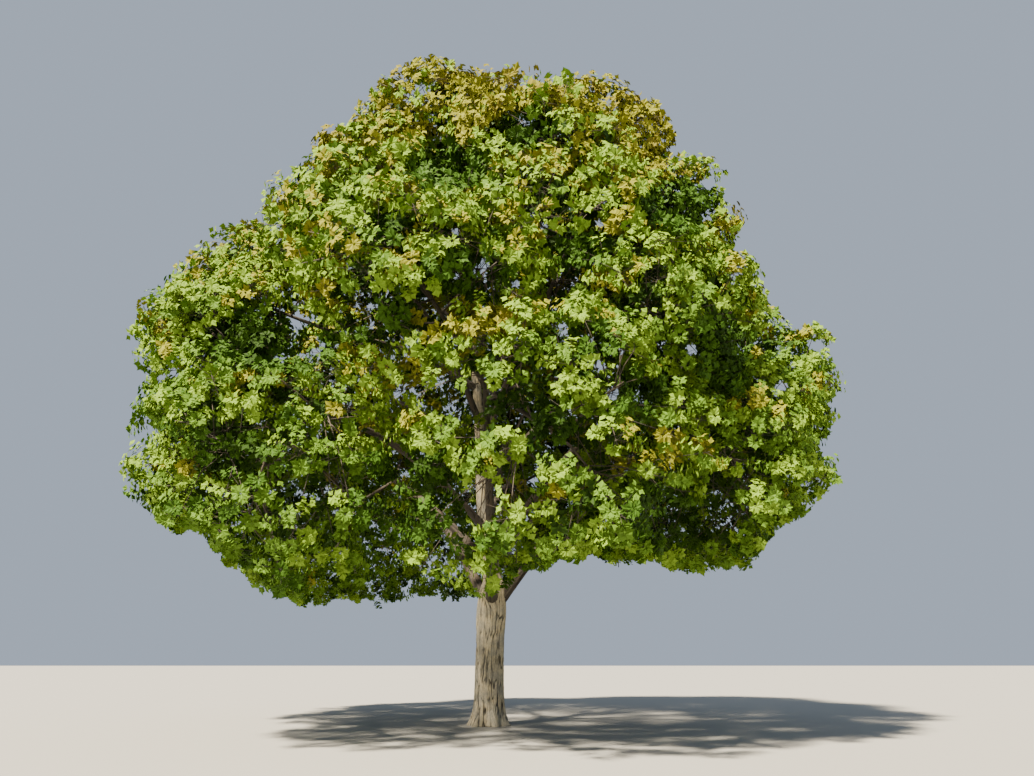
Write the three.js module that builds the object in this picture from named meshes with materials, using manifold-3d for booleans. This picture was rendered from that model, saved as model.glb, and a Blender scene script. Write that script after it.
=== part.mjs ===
// A mature maple grown in the open, whole, from the flat cut at ground level to the tips of its crown.
// Millimetres, +Z up. The origin is the middle of the trunk's cut foot. The viewer stands on the -Y side,
// with +X to the right.

import * as THREE from 'three';
import Module from 'manifold-3d';

const wasm = await Module();
wasm.setup();

// Driving dimensions

const joinGap = 0.3; // clear space where one piece of wood meets the next

const trunk = {
  stemRadius: 372, // at breast height
  forkHeight: 3600, // top of the trunk, where the leader and the boughs take over
  forkRadius: 315,
  flare: { depth: 98, height: 330 }, // how far the foot spreads, and the climb in which that dies out
  ridges: { depth: 105, height: 240 }, // root ridges at the foot
  fluteDepth: 11,
  forkSwell: { depth: 48, height: 2750, reach: 520 },
  lean: 95, // to the right, at the fork
  sides: 24,
  rings: [0, 90, 210, 380, 620, 1000, 1600, 2150, 2600, 2950, 3300, 3600],
};

// The leader leans the other way. Its middle line starts inside the trunk.
const leader = {
  sink: 150,
  bends: [[-190, 20, 5300], [-420, 60, 8640], [-820, 100, 12200]],
  rootRadius: 215,
  tipRadius: 92,
  sides: 8,
  steps: 8,
};

// Low boughs leave the trunk and the leader at three heights by turns, and carry the two lower rings of
// foliage. The boughs of each upper ring leave the leader one above the other.
const lowBoughs = { roots: [2750, 3950, 4950], rootRadii: [150, 118, 104], tipRadius: 70, inset: 1650 };
const upperBoughs = {
  shoulder: { name: 'bough_high', lowest: 5900, highest: 9000, rootRadius: 96, tipRadius: 66 },
  crest: { name: 'bough_crest', lowest: 9300, highest: 10900, rootRadius: 74, tipRadius: 60 },
  top: { name: 'bough_top', lowest: 11400, highest: 12150, rootRadius: 64, tipRadius: 58 },
};
const boughLift = 0.07; // how far a bough rises above a straight line, as a share of its length
const boughEntry = 0.8; // an upper bough ends this far from its mass's centre, in mass radii
const collar = { swell: 0.3, length: 420 }; // a limb is thicker where it leaves its parent

// Half-width of the crown at each height, to the viewer's left and right.
const crownProfile = [
  { height: 3200, left: 8400, right: 8650 },
  { height: 5000, left: 9800, right: 9550 },
  { height: 7000, left: 8400, right: 8150 },
  { height: 9000, left: 8950, right: 9200 },
  { height: 11000, left: 8950, right: 7500 },
  { height: 13000, left: 6400, right: 6700 },
  { height: 15000, left: 4450, right: 7200 },
  { height: 16500, left: 4900, right: 5350 },
];

// The foliage masses stand in rings round the stem. Turn is the bearing of the first mass of a ring, in
// degrees from +X towards +Y. Reach is how far a mass's centre lies inside the outline, in mass radii.
// Side lift raises the masses to the left and right above those in front and behind.
const rings = {
  skirt: { height: 5770, count: 8, radius: 2750, turn: 6, reach: 0.84, sideLift: 500 },
  middle: { height: 8470, count: 8, radius: 2150, turn: -13, reach: 0.69, sideLift: -200 },
  shoulder: { height: 10560, count: 7, radius: 2600, turn: -13, reach: 0.965, sideLift: 400 },
  crest: { height: 13770, count: 6, radius: 2700, turn: -18, reach: 0.765, sideLift: -100 },
  top: { height: 15760, count: 4, radius: 2230, turn: -33, reach: 0.995, sideLift: 370 },
};
const massFlattening = 0.86; // height of a mass over its width
const scatter = { height: 260, bearing: 5, radius: 0.05 }; // millimetres, degrees, share of the radius
const scatterSeeds = { height: 21, bearing: 6, radius: 52 }; // chosen so that the outline's bumps fall right
const spaceMargin = 6; // foliage stays this far inside its own space
const limbMargin = 140; // leaves stay this far from the limbs

const massStem = { sink: 120, overrun: 0.3, rootRadius: 62, tipRadius: 54 };
const twig = { count: 6, reach: 0.73, rootRadius: 27, tipRadius: 24 }; // reach in mass radii
const twigLean = { first: 0.9, span: 1.6 }; // cosine of the angle between a twig and its stem
const twigRoots = { lowest: 0.42, span: 0.56 }; // where the twigs leave the stem, as shares of its length

// Each leaf stands for a spray. Sizes are the shares of the full size at which a leaf is tried.
const leaf = { perTwig: 3, length: 1600, width: 1500, thickness: 30, sizes: [1, 0.88, 0.76, 0.64] };
const leafRoot = { sink: 4, spacing: 95 }; // depth past the twig's middle, and the gap between roots
const leafTilt = { middle: 83, swing: 6 }; // degrees from the line of the twig

const barkFinish = { color: 0x8f7f6c, roughness: 0.9, metalness: 0 };
const leafColours = { skirt: 0x6f9a2c, middle: 0x63892a, shoulder: 0x6c842c, crest: 0x7a8530, top: 0x858a34 };

const up = new THREE.Vector3(0, 0, 1);
const fullTurn = 2 * Math.PI;
const goldenAngle = Math.PI * (3 - Math.sqrt(5));

// A repeatable number between 0 and 1 for each set of three whole numbers.
function chance(first, second, third) {
  const wave = Math.sin(first * 12.9898 + second * 78.233 + third * 37.719 + 4.1) * 43758.5453;
  return wave - Math.floor(wave);
}

// A repeatable number between -1 and 1.
function swing(first, second, third) {
  return 2 * chance(first, second, third) - 1;
}

// Two directions square to a line and to each other.
function squareTo(along) {
  const side = along.clone().cross(Math.abs(along.z) > 0.95 ? new THREE.Vector3(1, 0, 0) : up).normalize();
  return [side, along.clone().cross(side)];
}

// A point at a bearing round a centre, in the plane of two directions.
function pointRound(centre, side, other, radius, bearing) {
  const point = centre.clone().addScaledVector(side, radius * Math.cos(bearing));
  return point.addScaledVector(other, radius * Math.sin(bearing));
}

// Closed meshes

function closedGeometry(positions, index) {
  const geometry = new THREE.BufferGeometry();
  geometry.setAttribute('position', new THREE.Float32BufferAttribute(positions, 3));
  geometry.setIndex(index);
  return geometry;
}

// Rings of points, one above the other, become a closed skin with a flat fan at each end.
function skinRings(ringPoints, origin) {
  const sides = ringPoints[0].length;
  const positions = ringPoints.flat().flatMap((point) => point.clone().sub(origin).toArray());
  const index = [];
  for (let ring = 0; ring < ringPoints.length - 1; ring += 1) {
    for (let side = 0; side < sides; side += 1) {
      const next = (side + 1) % sides;
      const low = ring * sides;
      const high = low + sides;
      index.push(low + side, low + next, high + next);
      index.push(low + side, high + next, high + side);
    }
  }
  const last = (ringPoints.length - 1) * sides;
  for (let side = 1; side < sides - 1; side += 1) {
    index.push(0, side + 1, side);
    index.push(last, last + side, last + side + 1);
  }
  return closedGeometry(positions, index);
}

function toSolid(geometry) {
  const vertProperties = new Float32Array(geometry.attributes.position.array);
  const triVerts = new Uint32Array(geometry.index.array);
  return new wasm.Manifold(new wasm.Mesh({ numProp: 3, vertProperties, triVerts }));
}

function toGeometry(solid) {
  const mesh = solid.getMesh();
  return closedGeometry(Array.from(mesh.vertProperties), Array.from(mesh.triVerts));
}

// The largest body of a solid, so that loose scraps are dropped and sealed hollows are filled.
function largestBody(solid) {
  return solid.decompose().reduce((best, body) => (body.volume() > best.volume() ? body : best));
}

// Trunk

function trunkAxis(height) {
  return new THREE.Vector3(trunk.lean * (height / trunk.forkHeight) ** 2, 0, height);
}

// Distance from the middle line to the bark. The foot spreads into root ridges that die out upwards, the
// stem has shallow flutes, and it swells a little under the fork.
function trunkRadius(height, bearing) {
  const { stemRadius, forkRadius, forkHeight, flare, ridges, fluteDepth, forkSwell } = trunk;
  const stem = THREE.MathUtils.lerp(stemRadius, forkRadius, (height / forkHeight) ** 3);
  const foot = flare.depth * Math.exp(-height / flare.height);
  const wave = Math.cos(6 * bearing + 0.7) + 0.5 * Math.cos(4 * bearing + 2);
  const roots = ridges.depth * Math.exp(-height / ridges.height) * wave;
  const flutes = fluteDepth * Math.cos(5 * bearing + height / 900);
  const swell = forkSwell.depth * Math.exp(-(((height - forkSwell.height) / forkSwell.reach) ** 2));
  return stem + foot + roots + flutes + swell;
}

function trunkGeometry(growth, origin) {
  const ringPoints = trunk.rings.map((height) => {
    const centre = trunkAxis(height);
    if (height === trunk.forkHeight) centre.z += growth;
    return Array.from({ length: trunk.sides }, (_, side) => {
      const bearing = (side / trunk.sides) * fullTurn;
      const radius = trunkRadius(height, bearing) + growth;
      return pointRound(centre, new THREE.Vector3(1, 0, 0), new THREE.Vector3(0, 1, 0), radius, bearing);
    });
  });
  return skinRings(ringPoints, origin);
}

// Limbs

// A limb is a smooth curve through a few points, thick at its root and thin at its tip.
function makeLimb(name, points, { rootRadius, tipRadius }, sides, steps) {
  const curve = new THREE.CatmullRomCurve3(points);
  return { name, curve, rootRadius, tipRadius, sides, steps, length: curve.getLength() };
}

function limbRadius(limb, share) {
  const taper = limb.tipRadius + (limb.rootRadius - limb.tipRadius) * (1 - share) ** 1.25;
  return taper * (1 + collar.swell * Math.exp((-share * limb.length) / collar.length));
}

function limbGeometry(limb, growth, origin) {
  const { curve, sides, steps } = limb;
  const frames = curve.computeFrenetFrames(steps, false);
  const ringPoints = [];
  for (let step = 0; step <= steps; step += 1) {
    const centre = curve.getPointAt(step / steps);
    if (step === 0) centre.addScaledVector(frames.tangents[step], -growth);
    if (step === steps) centre.addScaledVector(frames.tangents[step], growth);
    const radius = limbRadius(limb, step / steps) + growth;
    ringPoints.push(Array.from({ length: sides }, (_, side) =>
      pointRound(centre, frames.normals[step], frames.binormals[step], radius, (side / sides) * fullTurn)));
  }
  return skinRings(ringPoints, origin);
}

function makeLeader() {
  const foot = trunkAxis(trunk.forkHeight - leader.sink);
  const points = [foot, ...leader.bends.map((bend) => new THREE.Vector3(...bend))];
  return makeLimb('leader', points, leader, leader.sides, leader.steps);
}

// A point on the trunk's or the leader's middle line at a height.
function stemPoint(leaderLimb, height) {
  if (height <= trunk.forkHeight) return trunkAxis(height);
  const foot = trunk.forkHeight - leader.sink;
  const share = (height - foot) / (leaderLimb.curve.getPointAt(1).z - foot);
  return leaderLimb.curve.getPointAt(THREE.MathUtils.clamp(share, 0, 1));
}

// A bough climbs steeply at first and levels out towards its tip.
function makeBough(name, start, tip, radii) {
  const run = tip.clone().sub(start);
  const lift = boughLift * run.length();
  const bends = [1 / 3, 2 / 3].map((share) =>
    start.clone().addScaledVector(run, share).addScaledVector(up, lift));
  return makeLimb(name, [start, ...bends, tip], radii, 6, 4);
}

// The masses on a bough start at its tip.
function seatMasses(bough, masses) {
  for (const mass of masses) {
    mass.bough = bough;
    mass.root = bough.curve.getPointAt(1);
    mass.boughEnd = bough.curve.getTangentAt(1);
  }
  return bough;
}

// Each low bough carries a mass of the skirt and the mass of the middle ring above it. Its tip lies
// between them, on their inner side.
function makeLowBoughs(leaderLimb, masses) {
  const skirt = masses.filter((mass) => mass.ring === 'skirt');
  const middle = masses.filter((mass) => mass.ring === 'middle');
  return skirt.map((low, place) => {
    const high = middle[place];
    const turn = place % lowBoughs.roots.length;
    const tip = low.centre.clone().lerp(high.centre, 0.5);
    tip.addScaledVector(new THREE.Vector3(-tip.x, -tip.y, 0).normalize(), lowBoughs.inset);
    const radii = { rootRadius: lowBoughs.rootRadii[turn], tipRadius: lowBoughs.tipRadius };
    const start = stemPoint(leaderLimb, lowBoughs.roots[turn]);
    return seatMasses(makeBough(`bough_low_${place + 1}`, start, tip, radii), [low, high]);
  });
}

// Each upper bough carries one mass. The boughs of a ring leave the leader at even steps of height.
function makeUpperBoughs(leaderLimb, masses) {
  return Object.entries(upperBoughs).flatMap(([ring, size]) => {
    const carried = masses.filter((mass) => mass.ring === ring);
    return carried.map((mass, place) => {
      const order = (place * 5) % carried.length;
      const height = THREE.MathUtils.lerp(size.lowest, size.highest, order / (carried.length - 1));
      const start = stemPoint(leaderLimb, height);
      const entry = (boughEntry * mass.radius) / mass.centre.distanceTo(start);
      const tip = mass.centre.clone().lerp(start, entry);
      return seatMasses(makeBough(`${size.name}_${place + 1}`, start, tip, size), [mass]);
    });
  });
}

// Crown

// Half-width of the crown at a height and bearing, read off the outline to the left and right.
function crownRadius(height, bearing) {
  let row = 0;
  while (row < crownProfile.length - 2 && crownProfile[row + 1].height < height) row += 1;
  const low = crownProfile[row];
  const high = crownProfile[row + 1];
  const share = THREE.MathUtils.clamp((height - low.height) / (high.height - low.height), 0, 1);
  const left = THREE.MathUtils.lerp(low.left, high.left, share);
  const right = THREE.MathUtils.lerp(low.right, high.right, share);
  return (left + right) / 2 + ((right - left) / 2) * Math.cos(bearing);
}

// Every foliage mass has a centre and a radius. Its space is the flattened ball of that radius, as far as
// the planes between it and its neighbours.
function placeMasses() {
  const masses = [];
  for (const [ring, size] of Object.entries(rings)) {
    for (let place = 0; place < size.count; place += 1) {
      const number = masses.length;
      const sway = scatter.bearing * swing(number, 1, scatterSeeds.bearing);
      const degrees = size.turn + (360 * place) / size.count + sway;
      const bearing = THREE.MathUtils.degToRad(degrees);
      const lift = size.sideLift * Math.cos(bearing) ** 2;
      const height = size.height + lift + scatter.height * swing(number, 2, scatterSeeds.height);
      const radius = size.radius * (1 + scatter.radius * swing(number, 3, scatterSeeds.radius));
      const out = crownRadius(height, bearing) - size.reach * radius;
      const centre = new THREE.Vector3(out * Math.cos(bearing), out * Math.sin(bearing), height);
      masses.push({ name: `foliage_${ring}_${place + 1}`, ring, number, centre, radius });
    }
  }
  return masses;
}

// Stretches heights so that a flattened ball becomes a true one.
function unflatten(point) {
  return new THREE.Vector3(point.x, point.y, point.z / massFlattening);
}

function insideSpace(mass, masses, point) {
  const here = unflatten(point);
  const own = here.distanceToSquared(unflatten(mass.centre)) - mass.radius ** 2;
  if (own > -2 * mass.radius * spaceMargin) return false;
  return masses.every((other) => {
    if (other === mass) return true;
    const apart = unflatten(mass.centre).distanceTo(unflatten(other.centre));
    const theirs = here.distanceToSquared(unflatten(other.centre)) - other.radius ** 2;
    return theirs - own > 2 * apart * spaceMargin;
  });
}

// Short straight stretches along every limb, for measuring how near a point comes to the wood.
function limbStretches(limbs) {
  const count = 8;
  return limbs.flatMap((limb) => Array.from({ length: count }, (_, step) => ({
    line: new THREE.Line3(limb.curve.getPointAt(step / count), limb.curve.getPointAt((step + 1) / count)),
    radius: limbRadius(limb, step / count),
  })));
}

function clearOfLimbs(point, stretches, margin) {
  const nearest = new THREE.Vector3();
  return stretches.every(({ line, radius }) => {
    line.closestPointToPoint(point, true, nearest);
    return nearest.distanceTo(point) > radius + margin;
  });
}

// Twigs

// Straight and three-sided, thinner at its end, with its corners turned about its middle line.
function twigGeometry({ start, end, turn, rootRadius, tipRadius }, origin) {
  const [side, other] = squareTo(end.clone().sub(start).normalize());
  const ringPoints = [[start, rootRadius], [end, tipRadius]].map(([centre, radius]) =>
    [0, 1, 2].map((corner) => pointRound(centre, side, other, radius, turn + (corner / 3) * fullTurn)));
  return skinRings(ringPoints, origin);
}

// The stem of a mass runs on from its bough's tip, past the middle of the mass.
function makeStem(mass) {
  const axis = mass.centre.clone().sub(mass.root).normalize();
  const start = mass.root.clone().addScaledVector(mass.boughEnd, -massStem.sink);
  const end = mass.centre.clone().addScaledVector(axis, massStem.overrun * mass.radius);
  return { ...massStem, start, end, axis, turn: 0 };
}

// Twigs leave the stem by the golden angle, the ones that point back leaving it first.
function makeTwig(mass, stem, number) {
  const [side, other] = squareTo(stem.axis);
  const place = (number + 0.5 * chance(mass.number, number, 5)) / twig.count;
  const lean = twigLean.first - twigLean.span * place;
  const bearing = number * goldenAngle + fullTurn * chance(mass.number, 0, 6);
  const forward = stem.axis.clone().multiplyScalar(lean);
  const out = pointRound(forward, side, other, Math.sqrt(1 - lean * lean), bearing);
  out.multiplyScalar(twig.reach * mass.radius);
  out.z *= massFlattening;
  const climb = 1 - (twigLean.first - lean) / twigLean.span;
  const start = mass.root.clone().lerp(stem.end, twigRoots.lowest + twigRoots.span * climb);
  const turn = fullTurn * chance(mass.number, number, 7);
  return { ...twig, number, start, end: mass.centre.clone().add(out), turn, leaves: [] };
}

// Leaves

// One leaf stands out of each side of a twig near its end, its faces turned up and out.
function aimLeaf(mass, branch, number) {
  const outward = branch.end.clone().sub(branch.start).normalize();
  const [side, other] = squareTo(outward);
  const bearing = branch.turn + ((number + 0.5) / leaf.perTwig) * fullTurn;
  const degrees = leafTilt.middle + leafTilt.swing * swing(mass.number, branch.number, number);
  const tilt = THREE.MathUtils.degToRad(degrees);
  const forward = outward.clone().multiplyScalar(Math.cos(tilt));
  const along = pointRound(forward, side, other, Math.sin(tilt), bearing);
  const facing = outward.clone().addScaledVector(along, -outward.dot(along)).normalize();
  const root = branch.end.clone().addScaledVector(outward, -leafRoot.spacing * (number + 0.6));
  return { root, along, facing };
}

// The corners of a leaf: its root, left lobe, tip, right lobe, and the high points of its two faces.
function leafCorners({ root, along, facing }, size) {
  const side = facing.clone().cross(along).normalize();
  const middle = root.clone().addScaledVector(along, 0.5 * leaf.length * size);
  return [
    root.clone().addScaledVector(along, -leafRoot.sink),
    middle.clone().addScaledVector(side, 0.5 * leaf.width * size),
    root.clone().addScaledVector(along, leaf.length * size),
    middle.clone().addScaledVector(side, -0.5 * leaf.width * size),
    middle.clone().addScaledVector(facing, 0.5 * leaf.thickness),
    middle.clone().addScaledVector(facing, -0.5 * leaf.thickness),
  ];
}

function leafGeometry(corners, origin) {
  const positions = corners.flatMap((corner) => corner.clone().sub(origin).toArray());
  const index = [0, 1, 2, 3].flatMap((first) => {
    const second = (first + 1) % 4;
    return [first, 4, second, first, second, 5];
  });
  return closedGeometry(positions, index);
}

// Points spread over a leaf, for testing where it lies.
function leafSamples([root, left, tip, right]) {
  const samples = [];
  for (let row = 1; row <= 5; row += 1) {
    for (let column = 0; column <= 4; column += 1) {
      const leftEdge = root.clone().lerp(left, row / 5);
      const rightEdge = right.clone().lerp(tip, row / 5);
      samples.push(leftEdge.lerp(rightEdge, column / 4));
    }
  }
  return samples;
}

// A leaf is tried at full size, then smaller, and left out where it would still leave the mass's space,
// touch a limb or cross another leaf or twig.
function fitLeaf(mass, masses, stretches, aim, others) {
  for (const size of leaf.sizes) {
    const corners = leafCorners(aim, size);
    const inside = corners.slice(1).every((corner) => insideSpace(mass, masses, corner));
    const clear = leafSamples(corners).every((point) => clearOfLimbs(point, stretches, limbMargin));
    if (!inside || !clear) continue;
    const solid = toSolid(leafGeometry(corners, mass.centre));
    if (others.every((other) => solid.intersect(other).isEmpty())) return solid;
  }
  return null;
}

function fitTwig(mass, masses, stretches, branch) {
  const path = [0.3, 0.5, 0.7, 0.9, 1].map((share) => branch.start.clone().lerp(branch.end, share));
  const clear = path.every((point) => clearOfLimbs(point, stretches, twig.rootRadius));
  return clear && insideSpace(mass, masses, branch.end);
}

// Stem, twigs and leaves are fused, and cut clear of the bough that carries them.
function massSolid(mass, masses, stretches) {
  const stem = makeStem(mass);
  const stemSolid = toSolid(twigGeometry(stem, mass.centre));
  const branches = Array.from({ length: twig.count }, (_, number) => makeTwig(mass, stem, number))
    .filter((branch) => fitTwig(mass, masses, stretches, branch))
    .map((branch) => ({ ...branch, solid: toSolid(twigGeometry(branch, mass.centre)) }));
  for (const branch of branches) {
    const neighbours = branches.filter((other) => other !== branch);
    for (let number = 0; number < leaf.perTwig; number += 1) {
      const others = neighbours.flatMap((other) => [other.solid, ...other.leaves]);
      const solid = fitLeaf(mass, masses, stretches, aimLeaf(mass, branch, number), [stemSolid, ...others]);
      if (solid) branch.leaves.push(solid);
    }
  }
  const pieces = [stemSolid, ...branches.flatMap((branch) => [branch.solid, ...branch.leaves])];
  const bough = toSolid(limbGeometry(mass.bough, joinGap, mass.centre));
  return largestBody(wasm.Manifold.union(pieces).subtract(bough));
}

// Assembly

function placeSolid(name, solid, origin, finish) {
  const mesh = new THREE.Mesh(toGeometry(solid), new THREE.MeshStandardMaterial(finish));
  mesh.name = name;
  mesh.position.copy(origin);
  return mesh;
}

// A limb is cut back where it leaves the wood that carries it, and where it presses against a limb that
// stands beside it in a fork.
function placeLimb(limb, earlier) {
  const foot = limb.curve.getPointAt(0);
  let solid = toSolid(limbGeometry(limb, 0, foot));
  for (const grownSolid of earlier) {
    solid = solid.subtract(grownSolid(foot));
  }
  return placeSolid(limb.name, largestBody(solid), foot, barkFinish);
}

function buildTree() {
  const tree = new THREE.Group();
  const masses = placeMasses();
  const leaderLimb = makeLeader();
  const boughs = [...makeLowBoughs(leaderLimb, masses), ...makeUpperBoughs(leaderLimb, masses)];
  const limbs = [leaderLimb, ...boughs];

  const ground = new THREE.Vector3();
  tree.add(placeSolid('trunk', toSolid(trunkGeometry(0, ground)), ground, barkFinish));
  const earlier = [(origin) => toSolid(trunkGeometry(joinGap, origin))];
  for (const limb of limbs) {
    tree.add(placeLimb(limb, earlier));
    earlier.push((origin) => toSolid(limbGeometry(limb, joinGap, origin)));
  }

  const stretches = limbStretches(limbs);
  for (const mass of masses) {
    const finish = { color: leafColours[mass.ring], roughness: 0.7, metalness: 0 };
    tree.add(placeSolid(mass.name, massSolid(mass, masses, stretches), mass.centre, finish));
  }
  return tree;
}

export default buildTree();
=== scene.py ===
import math

import bpy
import numpy as np
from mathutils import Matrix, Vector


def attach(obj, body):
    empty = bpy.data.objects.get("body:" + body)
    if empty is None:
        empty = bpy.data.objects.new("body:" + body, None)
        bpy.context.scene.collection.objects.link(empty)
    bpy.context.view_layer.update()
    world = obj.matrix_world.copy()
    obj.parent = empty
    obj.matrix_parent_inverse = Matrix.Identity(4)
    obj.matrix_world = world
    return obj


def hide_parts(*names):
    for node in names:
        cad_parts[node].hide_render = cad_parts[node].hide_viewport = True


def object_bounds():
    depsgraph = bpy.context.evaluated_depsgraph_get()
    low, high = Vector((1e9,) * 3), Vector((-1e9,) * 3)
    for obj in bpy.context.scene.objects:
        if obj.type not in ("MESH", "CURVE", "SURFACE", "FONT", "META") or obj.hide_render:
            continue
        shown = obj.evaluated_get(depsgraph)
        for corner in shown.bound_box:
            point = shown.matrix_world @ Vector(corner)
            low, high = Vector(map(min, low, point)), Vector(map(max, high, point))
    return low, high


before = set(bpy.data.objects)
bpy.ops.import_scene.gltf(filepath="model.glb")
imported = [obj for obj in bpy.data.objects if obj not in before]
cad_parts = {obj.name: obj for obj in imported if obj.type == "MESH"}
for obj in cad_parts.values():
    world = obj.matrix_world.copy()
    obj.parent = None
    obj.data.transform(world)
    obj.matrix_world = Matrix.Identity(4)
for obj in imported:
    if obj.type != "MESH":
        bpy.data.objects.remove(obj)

# A mature maple in late summer leaf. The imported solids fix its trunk, limbs and foliage spaces. This script
# dresses them: furrowed bark on the wood, and twigs and leaves grown on by the rule that made the solids.
# Metres, +Z up, with the viewer on the -Y side.

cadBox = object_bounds()
fullTurn = 2 * math.pi
goldenAngle = math.pi * (3 - math.sqrt(5))
print("frame loaded:", len(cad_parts), "nodes")


# Camera: eye height, a phone's wide lens, tilted up at the crown.
viewer = {
    "eye": (0.72, -20.5, 1.55),
    "pitch": 20.0,  # degrees above the horizon
    "lens": 26.0,  # mm, on a sensor 36 mm wide
    "sensor": 36.0,
    "picture": (1034, 776),  # pixels
}
pitch = math.radians(viewer["pitch"])
focalPixels = viewer["lens"] / viewer["sensor"] * viewer["picture"][0]


def addObject(name, data):
    thing = bpy.data.objects.new(name, data)
    bpy.context.scene.collection.objects.link(thing)
    return thing


def makeCamera():
    data = bpy.data.cameras.new("viewerCamera")
    data.lens = viewer["lens"]
    data.sensor_width = viewer["sensor"]
    camera = addObject("viewerCamera", data)
    camera.location = viewer["eye"]
    camera.rotation_euler = (math.radians(90 + viewer["pitch"]), 0, 0)
    bpy.context.scene.camera = camera


# Where points fall in the picture, and how deep they lie: the pinhole formula
# u = middle + focal * right / forward, v = middle - focal * up / forward.
def toPicture(points):
    width, height = viewer["picture"]
    away = points - np.array(viewer["eye"])
    forward = away[..., 1] * math.cos(pitch) + away[..., 2] * math.sin(pitch)
    upward = away[..., 2] * math.cos(pitch) - away[..., 1] * math.sin(pitch)
    u = width / 2 + focalPixels * away[..., 0] / forward
    v = height / 2 - focalPixels * upward / forward
    return u, v, forward


makeCamera()
print("camera set")


# Materials

# sRGB hex to linear: c / 12.92 up to 0.04045, else ((c + 0.055) / 1.055) ^ 2.4.
def hexColour(text):
    parts = [int(text[i:i + 2], 16) / 255 for i in (1, 3, 5)]
    return (*[c / 12.92 if c <= 0.04045 else ((c + 0.055) / 1.055) ** 2.4 for c in parts], 1.0)


# One node with its settings and links. A setting is a property, or else an input's value; stops fill a ramp.
def addNode(tree, kind, settings=None, links=None):
    node = tree.nodes.new("ShaderNode" + kind)
    for name, value in (settings or {}).items():
        if name == "stops":
            elements = node.color_ramp.elements
            while len(elements) < len(value):
                elements.new(0.5)
            for element, (place, colour) in zip(elements, value):
                element.position, element.color = place, hexColour(colour)
        elif hasattr(node, name):
            setattr(node, name, value)
        else:
            node.inputs[name].default_value = value
    for name, socket in (links or {}).items():
        tree.links.new(socket, node.inputs[name])
    return node


def newMaterial(name):
    material = bpy.data.materials.new(name)
    material.use_nodes = True
    tree = material.node_tree
    tree.nodes.clear()
    return material, tree


# Old maple bark: long flat plates, cream and grey outside, dark brown in the furrows, dry and matt.
oldBark = {
    "furrow": "#463f34", "flank": "#7b7563", "plate": "#c0b494", "weathered": "#8e8d82",
    "patch": 0.35, "grain": 0.012, "bump": 0.006,  # metres
    "roughness": 0.92,
}

# Young maple bark, on boughs and twigs: smoother, with colours made much darker as painted shade of the
# crown.
youngBarkPaintedShade = {
    "furrow": "#1a1611", "flank": "#322b23", "plate": "#4a4236", "weathered": "#423f3a",
    "patch": 0.3, "grain": 0.008, "bump": 0.003,  # metres
    "roughness": 0.85,
}
barkPattern = {
    "stops": (0.0, 0.45, 0.95),  # where the colours of furrow, flank and plate lie
    "patchRoughness": 0.6, "grainStretch": 0.25, "bumpStrength": 0.6,
    "greyByPatch": {"From Min": 0.4, "From Max": 0.6, "To Min": 0.0, "To Max": 0.8},
    "shadeByGrain": {"From Min": 0.3, "From Max": 0.7, "To Min": 0.72, "To Max": 1.2},
    "shadeByFurrow": {"From Min": 0.0, "From Max": 0.5, "To Min": 0.45, "To Max": 1.0},
}


# The colour runs from furrow to plate by the furrow attribute, which is 0 at the bottom of a furrow and 1
# on a plate. Grey patches weather it, upright grain shades it, and the furrows darken towards their bottoms.
def barkMaterial(name, look):
    material, tree = newMaterial(name)
    place = addNode(tree, "TexCoord").outputs["Object"]
    furrow = addNode(tree, "Attribute", {"attribute_name": "furrow"}).outputs["Fac"]
    stops = list(zip(barkPattern["stops"], (look["furrow"], look["flank"], look["plate"])))
    ramp = addNode(tree, "ValToRGB", {"stops": stops}, {"Fac": furrow}).outputs["Color"]
    patchNoise = {"Scale": 1 / look["patch"], "Detail": 4.0, "Roughness": barkPattern["patchRoughness"]}
    patches = addNode(tree, "TexNoise", patchNoise, {"Vector": place}).outputs["Fac"]
    share = addNode(tree, "MapRange", barkPattern["greyByPatch"], {"Value": patches}).outputs["Result"]
    # Of this node, inputs 6 and 7 and output 2 are the colours.
    weathered = addNode(tree, "Mix", {"data_type": "RGBA"}, {"Factor": share, 6: ramp})
    weathered.inputs[7].default_value = hexColour(look["weathered"])

    stretch = {"Scale": (1, 1, barkPattern["grainStretch"])}
    upright = addNode(tree, "Mapping", stretch, {"Vector": place}).outputs["Vector"]
    grainNoise = {"Scale": 1 / look["grain"], "Detail": 3.0}
    grain = addNode(tree, "TexNoise", grainNoise, {"Vector": upright}).outputs["Fac"]
    shade = addNode(tree, "MapRange", barkPattern["shadeByGrain"], {"Value": grain}).outputs["Result"]
    grained = addNode(tree, "VectorMath", {"operation": "SCALE"}, {"Scale": shade, 0: weathered.outputs[2]})
    depth = addNode(tree, "MapRange", barkPattern["shadeByFurrow"], {"Value": furrow}).outputs["Result"]
    colour = addNode(tree, "VectorMath", {"operation": "SCALE"},
                     {"Scale": depth, 0: grained.outputs["Vector"]}).outputs["Vector"]
    relief = {"Strength": barkPattern["bumpStrength"], "Distance": look["bump"]}
    bump = addNode(tree, "Bump", relief, {"Height": grain}).outputs["Normal"]
    shader = addNode(tree, "BsdfPrincipled", {"Roughness": look["roughness"]},
                     {"Base Color": colour, "Normal": bump})
    addNode(tree, "OutputMaterial", {}, {"Surface": shader.outputs["BSDF"]})
    return material


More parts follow.
